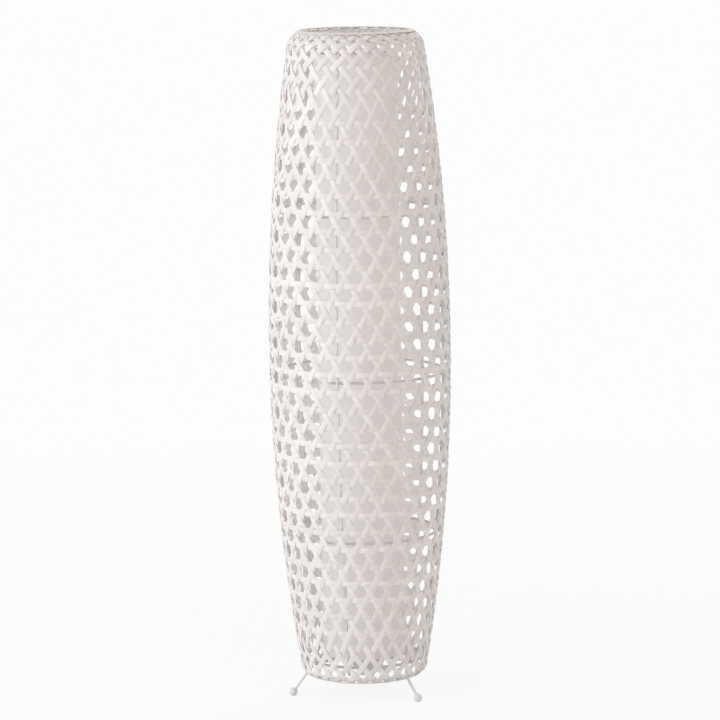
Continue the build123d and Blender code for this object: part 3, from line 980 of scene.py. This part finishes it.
class LAMP_OT_bulb(bpy.types.Operator):
    """Roll the bulb's screw cap, and finish the bulb from its contact to its globe."""

    bl_idname = "lamp.bulb"
    bl_label = "Finish Bulb"

    def execute(self, context):
        dress(["bulb_contact"], bare_metal("contact_solder", SOLDER, roughness=0.35))
        dress(["bulb_insulator"], moulded("insulator_black", INSULATOR_BLACK, roughness=0.15, coat=0.5))
        metal = bare_metal("screw_cap_metal", CAP_METAL, roughness=0.25)
        cap = rolled_cap(context.scene.lamp.hardware, metal)
        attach(cap, "bulb")
        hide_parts("bulb_screw_cap")
        dress(["bulb_collar"], moulded("bulb_collar_white", COLLAR_WHITE, roughness=0.3))
        dress(["bulb_led_board"], moulded("light_board", BOARD_WHITE, roughness=0.4))
        dress(["bulb_globe"], opal_glass())
        return {"FINISHED"}


def floor_finish():
    """Near-white floor: the camera sees it almost plain white, with the lamp's shadow faint on it."""
    material, flow, shader = new_finish("studio_floor")
    flow.fill(shader, {"Base Color": FLOOR_COLOUR, "Roughness": 0.9})
    seen = flow.node("ShaderNodeLightPath", {}, {}, output="Is Camera Ray")
    distance = flow.node("ShaderNodeVectorMath", {"operation": "LENGTH"}, {0: flow.place()}, output="Value")
    away = flow.ramp(distance, *FLOOR_FADE)
    share = seen * (FLOOR_GLOW + (1 - FLOOR_GLOW) * away)
    lit = Flow(flow.tree, shader.outputs["BSDF"])
    glow = flow.node("ShaderNodeEmission", {}, {"Color": SEEN_WHITE, "Strength": 1.0})
    blended = flow.node("ShaderNodeMixShader", {}, {0: share, 1: lit, 2: glow})
    output = next(n for n in flow.tree.nodes if n.type == "OUTPUT_MATERIAL")
    flow.feed(output.inputs["Surface"], blended)
    return material


def studio_floor():
    """A square floor just under the feet."""
    half, low = FLOOR_HALF, -FLOOR_DROP
    corners = [(-half, -half, low), (half, -half, low), (half, half, low), (-half, half, low)]
    mesh = bpy.data.meshes.new("studio_floor")
    mesh.from_pydata(corners, [], [(0, 1, 2, 3)])
    mesh.materials.append(floor_finish())
    floor = bpy.data.objects.new("studio_floor", mesh)
    bpy.context.scene.collection.objects.link(floor)
    return floor


def studio_world():
    """Plain surroundings: white to the camera and in reflections, warmer and dimmer as light."""
    world = bpy.data.worlds.new("studio_world")
    world.use_nodes = True
    flow = Flow(world.node_tree)
    rays = ("Is Camera Ray", "Is Glossy Ray", "Is Transmission Ray")
    seen, glossy, through = (flow.node("ShaderNodeLightPath", {}, {}, output=ray) for ray in rays)
    white = flow.math("MAXIMUM", seen, flow.math("MAXIMUM", glossy, through))
    background = next(n for n in flow.tree.nodes if n.type == "BACKGROUND")
    sockets = {
        "Color": flow.mix(white, ROOM_LIGHT, SEEN_WHITE),
        "Strength": ROOM_STRENGTH + (1 - ROOM_STRENGTH) * white,
    }
    flow.fill(background, sockets)
    bpy.context.scene.world = world


def hang_light(soft):
    """A square soft light that faces the middle of the lamp."""
    light = bpy.data.lights.new(soft.name, "AREA")
    light.size = soft.size
    light.energy = soft.power
    light.color = soft.colour
    hung = bpy.data.objects.new(soft.name, light)
    hung.location = soft.place
    hung.rotation_euler = (Vector(LIT_PLACE) - Vector(soft.place)).to_track_quat("-Z", "Y").to_euler()
    bpy.context.scene.collection.objects.link(hung)


def photo_camera():
    """Camera at the photograph's angle: a little above the middle, turned to the right, rolled slightly."""
    distance = 5.5
    elevation = math.radians(8.5)
    azimuth = math.radians(15.0)
    roll = math.radians(-0.85)
    seen_height = 1.078
    target = Vector((0.0, 0.0, 0.506))
    level = math.cos(elevation)
    offset = Vector((math.sin(azimuth) * level, -math.cos(azimuth) * level, math.sin(elevation)))
    camera = bpy.data.cameras.new("photo_camera")
    camera.sensor_width = 36.0
    camera.lens = camera.sensor_width * distance / seen_height
    viewer = bpy.data.objects.new("photo_camera", camera)
    standing = Matrix.Translation(target + offset * distance)
    facing = (-offset).to_track_quat("-Z", "Y").to_matrix().to_4x4()
    viewer.matrix_world = standing @ facing @ Matrix.Rotation(roll, 4, "Z")
    bpy.context.scene.collection.objects.link(viewer)
    bpy.context.scene.camera = viewer


class LAMP_OT_stage(bpy.types.Operator):
    """Set the floor, the surroundings, the lights and the camera."""

    bl_idname = "lamp.stage"
    bl_label = "Set Stage"

    def execute(self, context):
        floor = studio_floor()
        studio_world()
        for soft in LIGHTS:
            hang_light(soft)
        photo_camera()
        context.scene.view_settings.view_transform = "Standard"
        return {"FINISHED"}


class LAMP_PT_panel(bpy.types.Panel):
    """Lists the steps that make the lamp."""

    bl_label = "Woven Lamp"
    bl_idname = "LAMP_PT_panel"
    bl_space_type = "VIEW_3D"
    bl_region_type = "UI"
    bl_category = "Lamp"

    def draw(self, context):
        lamp = context.scene.lamp
        for group in (lamp.barrel, lamp.weave, lamp.hardware, lamp.colours):
            for name in group.__annotations__:
                self.layout.prop(group, name)
        for operator in OPERATORS:
            self.layout.operator(operator.bl_idname)


OPERATORS = (LAMP_OT_weave, LAMP_OT_frame, LAMP_OT_diffuser, LAMP_OT_holder, LAMP_OT_bulb, LAMP_OT_stage)
CLASSES = (BarrelSizes, WeaveSizes, HardwareSizes, FinishColours, LampSettings) + OPERATORS + (LAMP_PT_panel,)


def register():
    """Register the classes and the lamp's settings."""
    for cls in CLASSES:
        bpy.utils.register_class(cls)
    bpy.types.Scene.lamp = PointerProperty(type=LampSettings)


def unregister():
    """Take the settings and the classes out again."""
    del bpy.types.Scene.lamp
    for cls in reversed(CLASSES):
        bpy.utils.unregister_class(cls)


def main():
    """Make the lamp."""
    register()
    bpy.ops.lamp.weave()
    bpy.ops.lamp.frame()
    bpy.ops.lamp.diffuser()
    bpy.ops.lamp.holder()
    bpy.ops.lamp.bulb()
    bpy.ops.lamp.stage()


if __name__ == "__main__":
    main()
